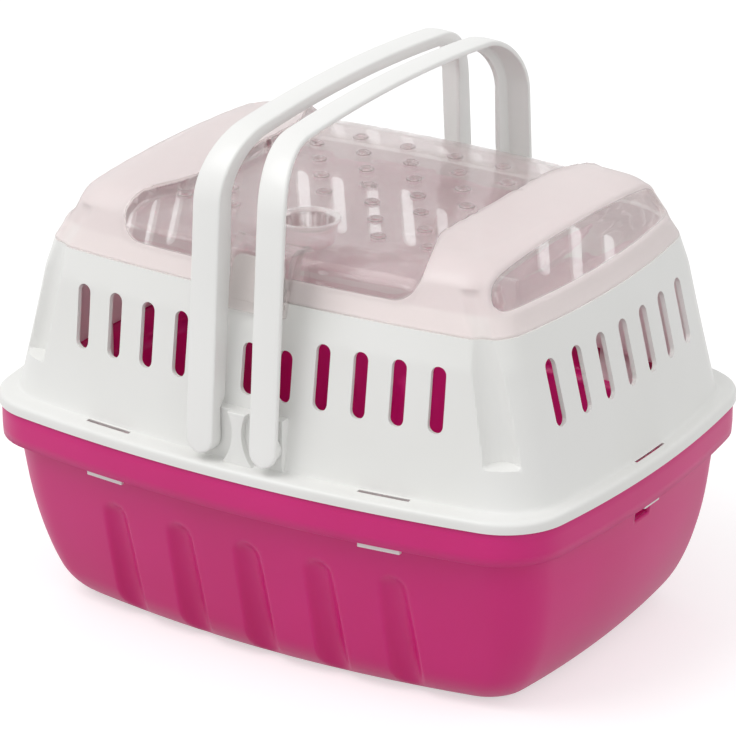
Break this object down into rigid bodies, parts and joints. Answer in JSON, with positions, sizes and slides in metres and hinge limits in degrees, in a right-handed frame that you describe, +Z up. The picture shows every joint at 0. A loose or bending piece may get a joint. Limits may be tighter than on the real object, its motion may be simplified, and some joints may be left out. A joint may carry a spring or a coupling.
{
  "type": "pet keeper",
  "caption": "Small animal carrier: fluted floor tub, vented upper shell with snap hooks, clear hinged roof with air holes, and two swinging carrying handles.",
  "frame": {"origin": "centre of the footprint, on the surface that the tub's flat bottom stands on", "axes": "+Z up, +X along the length, the side with the latch tab faces -Y"},
  "size_m": [0.3, 0.225, 0.2501],
  "materials": {
    "pink_plastic": "satin translucent polypropylene",
    "white_plastic": "satin polypropylene",
    "handle_plastic": "satin polypropylene",
    "clear_plastic": "clear glossy styrene"
  },
  "bodies": {
    "tub": {"base_tub": "pink_plastic"},
    "shell": {"vent_shell": "white_plastic"},
    "lid": {"clear_lid": "clear_plastic"},
    "handle_left": {"left_handle": "handle_plastic"},
    "handle_right": {"right_handle": "handle_plastic"}
  },
  "joints": [
    {"name": "shell_lift", "type": "slide", "parent": "tub", "child": "shell", "axis": [0, 0, 1], "range_m": [0, 0.15]},
    {"name": "lid_hinge", "type": "hinge", "parent": "shell", "child": "lid", "pos_m": [0, 0.091, 0.175], "axis": [-1, 0, 0], "range_deg": [0, 12]},
    {"name": "left_handle_swing", "type": "hinge", "parent": "shell", "child": "handle_left", "pos_m": [-0.01615, 0, 0.113], "axis": [0, -1, 0], "range_deg": [-2, 78]},
    {"name": "right_handle_swing", "type": "hinge", "parent": "shell", "child": "handle_right", "pos_m": [0.01615, 0, 0.113], "axis": [0, 1, 0], "range_deg": [-2, 78]}
  ]
}
